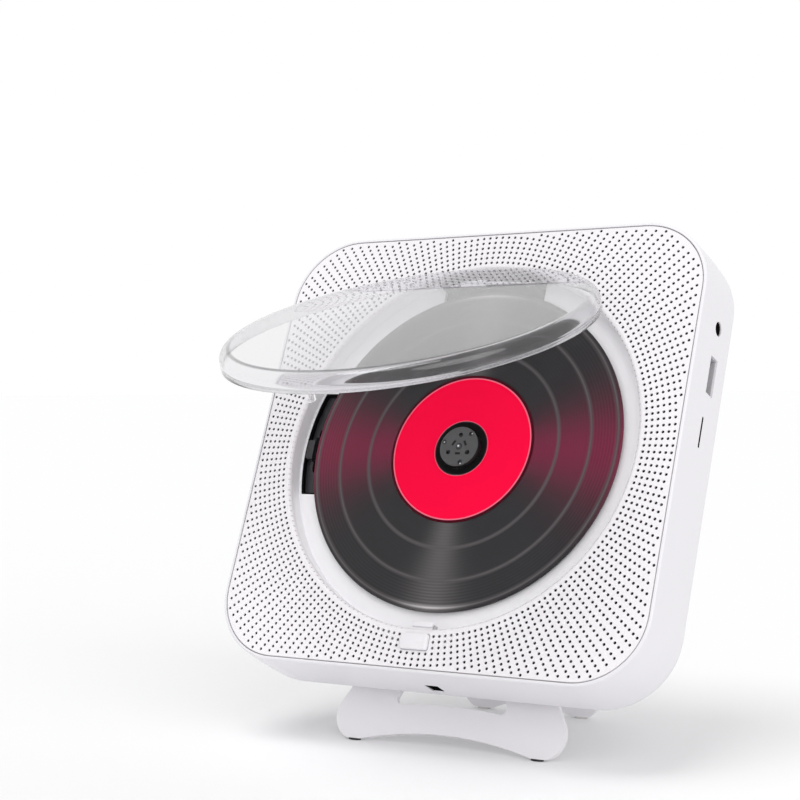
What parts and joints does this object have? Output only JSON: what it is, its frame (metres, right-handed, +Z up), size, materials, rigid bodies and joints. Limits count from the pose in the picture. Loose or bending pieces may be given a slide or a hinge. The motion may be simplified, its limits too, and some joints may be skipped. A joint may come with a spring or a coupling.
{
  "type": "wall mounted cd player",
  "caption": "Square player with rounded corners for audio discs, with a clear round hinged lid, on a bent-plate desk stand that hooks into its wall keyholes.",
  "frame": {"origin": "bottom centre of the bounding box, on the desk under the stand pads", "axes": "+Z up from the desk, the face looks toward -Y and leans back 24.7 degrees, +X to the right of someone facing it"},
  "size_m": [0.1674, 0.1542, 0.1808],
  "materials": {
    "body_white": "satin moulded plastic",
    "clear_lid": "clear polished plastic",
    "stand_grey": "satin painted sheet",
    "pad_rubber": "soft matte",
    "bright_steel": "plain",
    "dark_plastic": "fine grain",
    "pale_plastic": "moulded",
    "grille_fabric": "fine mesh",
    "disc_black": "polished, with a faint sheen",
    "label_red": "printed, plain",
    "board_green": "coated board",
    "cell_blue": "sleeved",
    "basket_steel": "black",
    "cone_paper": "pressed paper",
    "lens_glass": "coated lens"
  },
  "bodies": {
    "stand": {"stand_frame": "stand_grey", "stand_pads": "pad_rubber", "stand_studs": "bright_steel", "stud_nuts": "bright_steel"},
    "lid": {"lid_cover": "clear_lid"},
    "turntable": {"turntable_hub": "dark_plastic", "spindle_shaft": "bright_steel"},
    "claw_1": {"claw_1": "dark_plastic"},
    "claw_2": {"claw_2": "dark_plastic"},
    "claw_3": {"claw_3": "dark_plastic"},
    "disc": {"compact_disc": "disc_black", "disc_label": "label_red"},
    "button": {"open_button": "body_white"},
    "latch": {"latch_hook": "body_white"},
    "sled": {"pickup_sled": "dark_plastic", "pickup_lens": "lens_glass", "sled_rack": "pale_plastic"},
    "drive_gear": {"drive_gear": "pale_plastic"},
    "motor_pinion": {"motor_pinion": "pale_plastic"},
    "key_volume_down": {"key_volume_down": "body_white"},
    "key_previous": {"key_previous": "body_white"},
    "key_play": {"key_play": "body_white"},
    "key_next": {"key_next": "body_white"},
    "key_volume_up": {"key_volume_up": "body_white"},
    "key_power": {"key_power": "body_white"},
    "player": {"audio_jack": "dark_plastic", "battery_cell": "cell_blue", "battery_contacts": "bright_steel", "battery_holder": "dark_plastic", "board_capacitors": "cell_blue", "board_chips": "dark_plastic", "button_spring": "bright_steel", "card_socket": "dark_plastic", "case_screws": "bright_steel", "charge_board": "board_green", "charge_socket": "dark_plastic", "damper_bushes": "pad_rubber", "disc_well": "body_white", "front_panel": "body_white", "gear_axle": "bright_steel", "grille_cloth": "grille_fabric", "guide_rods": "bright_steel", "hinge_bracket": "dark_plastic", "hinge_pin": "bright_steel", "ir_receiver": "dark_plastic", "key_board": "board_green", "key_switches": "pale_plastic", "latch_carrier": "pale_plastic", "lid_spring": "bright_steel", "main_board": "board_green", "mechanism_chassis": "dark_plastic", "mechanism_screws": "bright_steel", "rear_case": "body_white", "sled_motor": "bright_steel", "speaker_baskets": "basket_steel", "speaker_cones": "cone_paper", "speaker_magnets": "basket_steel", "spindle_motor": "bright_steel", "usb_socket": "bright_steel"}
  },
  "joints": [
    {"name": "player_lift", "type": "slide", "parent": "stand", "child": "player", "axis": [0, 0.4179, 0.9085], "range_m": [0, 0.008]},
    {"name": "lid_hinge", "type": "hinge", "parent": "player", "child": "lid", "pos_m": [0, 0.04568, 0.16189], "axis": [-1, 0, 0], "range_deg": [-48.4, 0], "stiffness_Nm_per_rad": 0.03, "springref_deg": 74.48},
    {"name": "turntable_spin", "type": "hinge", "parent": "player", "child": "turntable", "pos_m": [0, 0.02069, 0.10349], "axis": [0, -0.9085, 0.4179], "continuous": true},
    {"name": "disc_lift", "type": "slide", "parent": "turntable", "child": "disc", "axis": [0, -0.9085, 0.4179], "range_m": [0, 0.006]},
    {"name": "claw_1_retract", "type": "slide", "parent": "turntable", "child": "claw_1", "axis": [-0.6428, -0.3201, -0.696], "range_m": [0, 0.0005], "stiffness_N_per_m": 200, "springref_m": -0.0004},
    {"name": "claw_2_retract", "type": "slide", "parent": "turntable", "child": "claw_2", "axis": [0.9659, -0.1082, -0.2351], "range_m": [0, 0.0005], "stiffness_N_per_m": 200, "springref_m": -0.0004},
    {"name": "claw_3_retract", "type": "slide", "parent": "turntable", "child": "claw_3", "axis": [-0.2588, 0.4036, 0.8776], "range_m": [0, 0.0005], "stiffness_N_per_m": 200, "springref_m": -0.0004},
    {"name": "button_press", "type": "slide", "parent": "player", "child": "button", "axis": [0, 0.9085, -0.4179], "range_m": [0, 0.0015], "stiffness_N_per_m": 300, "springref_m": -0.001},
    {"name": "latch_slide", "type": "slide", "parent": "player", "child": "latch", "axis": [0, -0.4179, -0.9085], "range_m": [0, 0.0012]},
    {"name": "key_volume_down_press", "type": "slide", "parent": "player", "child": "key_volume_down", "axis": [0, -0.4179, -0.9085], "range_m": [0, 0.0006], "stiffness_N_per_m": 500, "springref_m": -0.0004},
    {"name": "key_previous_press", "type": "slide", "parent": "player", "child": "key_previous", "axis": [0, -0.4179, -0.9085], "range_m": [0, 0.0006], "stiffness_N_per_m": 500, "springref_m": -0.0004},
    {"name": "key_play_press", "type": "slide", "parent": "player", "child": "key_play", "axis": [0, -0.4179, -0.9085], "range_m": [0, 0.0006], "stiffness_N_per_m": 500, "springref_m": -0.0004},
    {"name": "key_next_press", "type": "slide", "parent": "player", "child": "key_next", "axis": [0, -0.4179, -0.9085], "range_m": [0, 0.0006], "stiffness_N_per_m": 500, "springref_m": -0.0004},
    {"name": "key_volume_up_press", "type": "slide", "parent": "player", "child": "key_volume_up", "axis": [0, -0.4179, -0.9085], "range_m": [0, 0.0006], "stiffness_N_per_m": 500, "springref_m": -0.0004},
    {"name": "key_power_press", "type": "slide", "parent": "player", "child": "key_power", "axis": [0, -0.4179, -0.9085], "range_m": [0, 0.0006], "stiffness_N_per_m": 500, "springref_m": -0.0004},
    {"name": "sled_travel", "type": "slide", "parent": "player", "child": "sled", "axis": [-1, 0, 0], "range_m": [0, 0.034]},
    {"name": "drive_gear_turn", "type": "hinge", "parent": "player", "child": "drive_gear", "pos_m": [-0.03, 0.01772, 0.07789], "axis": [0, -0.9085, 0.4179], "range_deg": [0, 650]},
    {"name": "motor_pinion_turn", "type": "hinge", "parent": "player", "child": "motor_pinion", "pos_m": [-0.022, 0.01953, 0.07706], "axis": [0, -0.9085, 0.4179], "range_deg": [-1950, 0]}
  ],
  "couplings": [
    {"joint": "latch_slide", "follows": "button_press", "ratio": 0.8},
    {"joint": "drive_gear_turn", "follows": "sled_travel", "rad_per_m": 333.33},
    {"joint": "motor_pinion_turn", "follows": "sled_travel", "rad_per_m": -1000}
  ]
}
